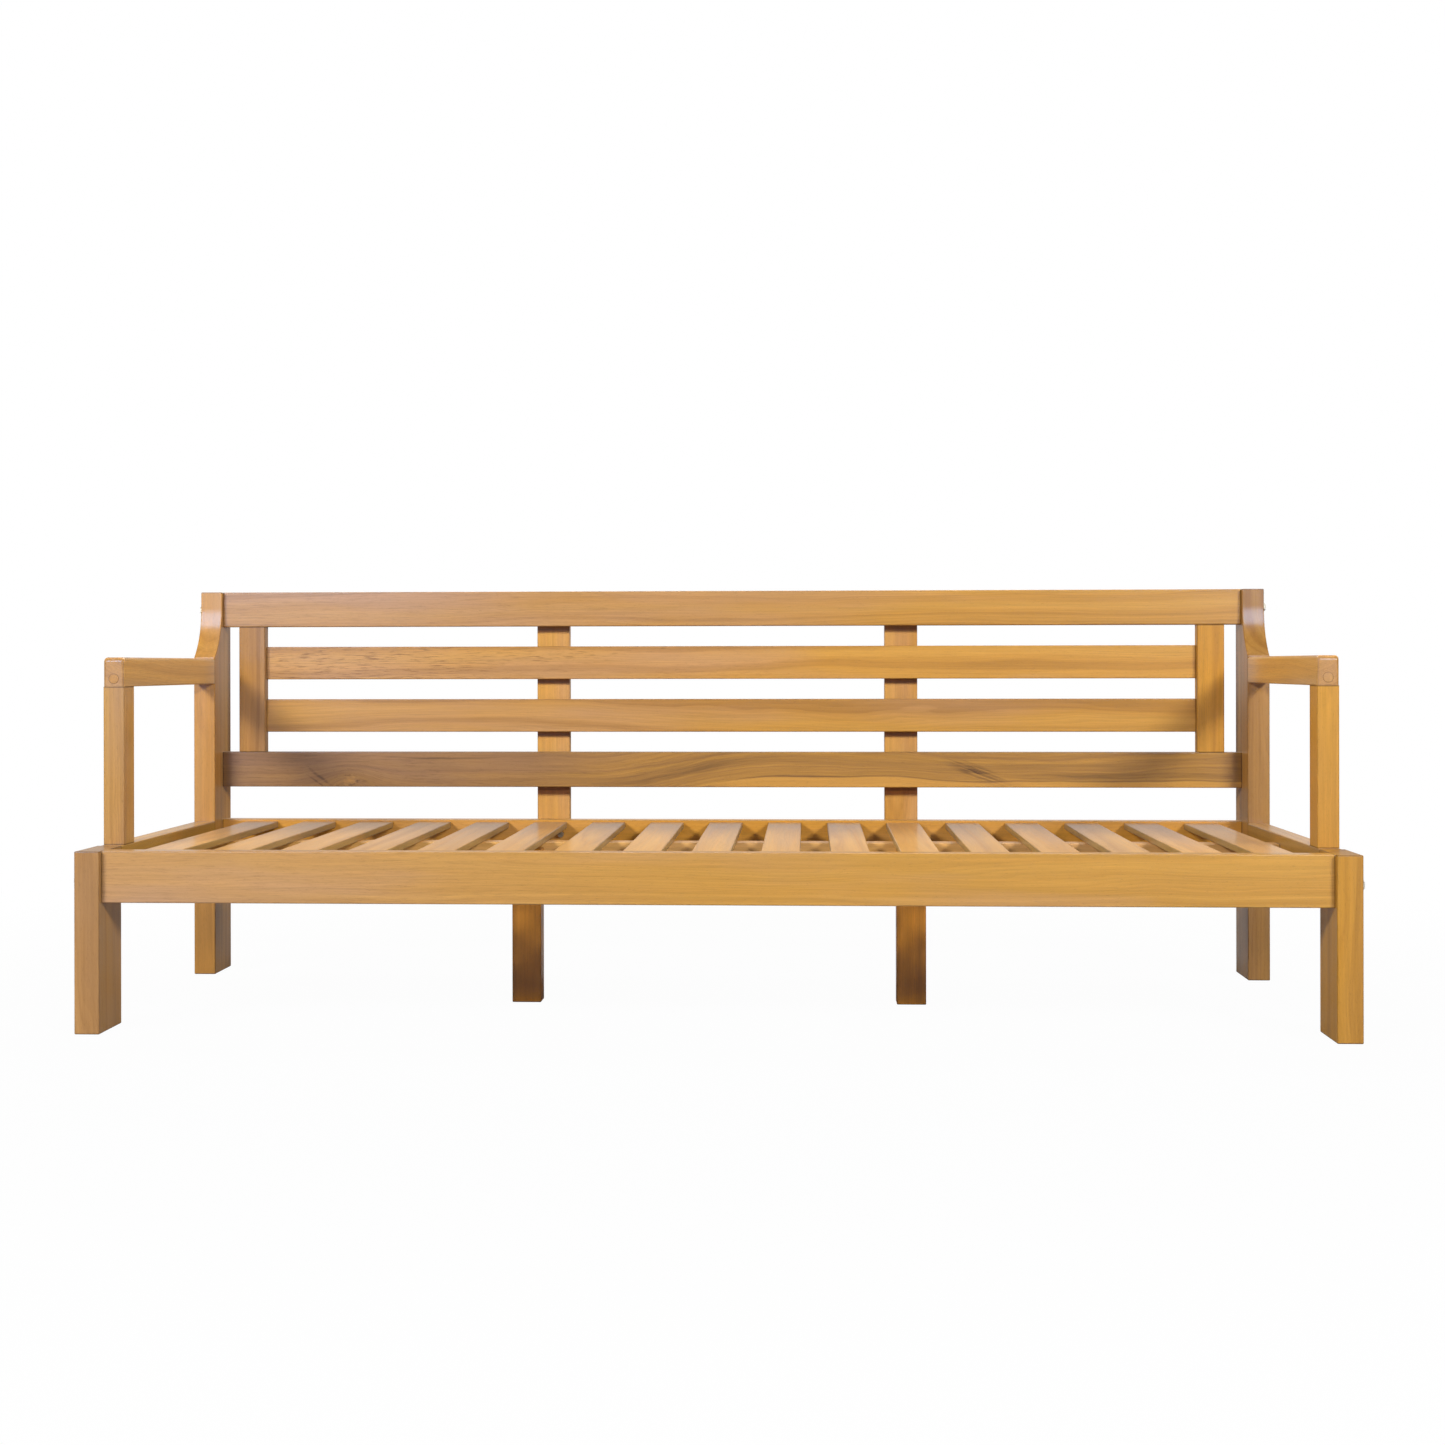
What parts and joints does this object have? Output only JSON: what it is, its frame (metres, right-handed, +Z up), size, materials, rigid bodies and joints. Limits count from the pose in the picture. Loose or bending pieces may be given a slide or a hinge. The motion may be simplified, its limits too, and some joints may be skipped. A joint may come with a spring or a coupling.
{
  "type": "garden bench",
  "caption": "Free-standing three-seat garden bench of varnished hardwood boards, with a slatted seat, a slatted upright back, plain armrests and two extra middle legs.",
  "frame": {"origin": "on the ground, under the middle of the bench's box", "axes": "+X along the bench, to the right of someone facing it; +Y towards its back; +Z up"},
  "size_m": [2.0138, 0.668, 0.72],
  "materials": {
    "wood_amber": "semi-gloss clear varnish on hardwood",
    "wood_honey": "semi-gloss clear varnish on hardwood",
    "wood_streaked": "semi-gloss clear varnish on hardwood",
    "wood_shaded": "semi-gloss clear varnish on hardwood",
    "wood_straw": "semi-gloss clear varnish on hardwood",
    "steel_zinc": "bright zinc plating"
  },
  "bodies": {
    "root": {"front_leg_left": "wood_amber", "front_leg_right": "wood_amber", "back_post_left": "wood_amber", "back_post_right": "wood_amber", "armrest_left": "wood_amber", "armrest_right": "wood_amber", "back_stile_left": "wood_amber", "back_stile_right": "wood_amber", "arm_pegs": "wood_amber", "side_rail_left": "wood_honey", "side_rail_right": "wood_honey", "arm_post_left": "wood_honey", "arm_post_right": "wood_honey", "front_rail": "wood_honey", "rear_rail": "wood_honey", "center_post_left": "wood_honey", "center_post_right": "wood_honey", "back_top_rail": "wood_honey", "back_slat_upper": "wood_honey", "back_slat_lower": "wood_honey", "back_lower_rail": "wood_streaked", "center_beam": "wood_shaded", "mid_leg_left": "wood_shaded", "mid_leg_right": "wood_shaded", "seat_slat_01": "wood_straw", "seat_slat_02": "wood_straw", "seat_slat_03": "wood_straw", "seat_slat_04": "wood_straw", "seat_slat_05": "wood_straw", "seat_slat_06": "wood_straw", "seat_slat_07": "wood_straw", "seat_slat_08": "wood_straw", "seat_slat_09": "wood_straw", "seat_slat_10": "wood_straw", "seat_slat_11": "wood_straw", "seat_slat_12": "wood_straw", "seat_slat_13": "wood_straw", "seat_slat_14": "wood_straw", "seat_slat_15": "wood_straw", "seat_slat_16": "wood_straw", "seat_slat_17": "wood_straw", "frame_dowels": "wood_straw", "slat_dowels": "wood_straw", "frame_bolts": "steel_zinc", "frame_washers": "steel_zinc", "barrel_nuts": "steel_zinc", "post_bolts": "steel_zinc", "post_washers": "steel_zinc", "post_nuts": "steel_zinc", "mid_leg_bolts": "steel_zinc", "mid_leg_washers": "steel_zinc", "mid_leg_nuts": "steel_zinc", "back_screws": "steel_zinc"}
  },
  "joints": []
}
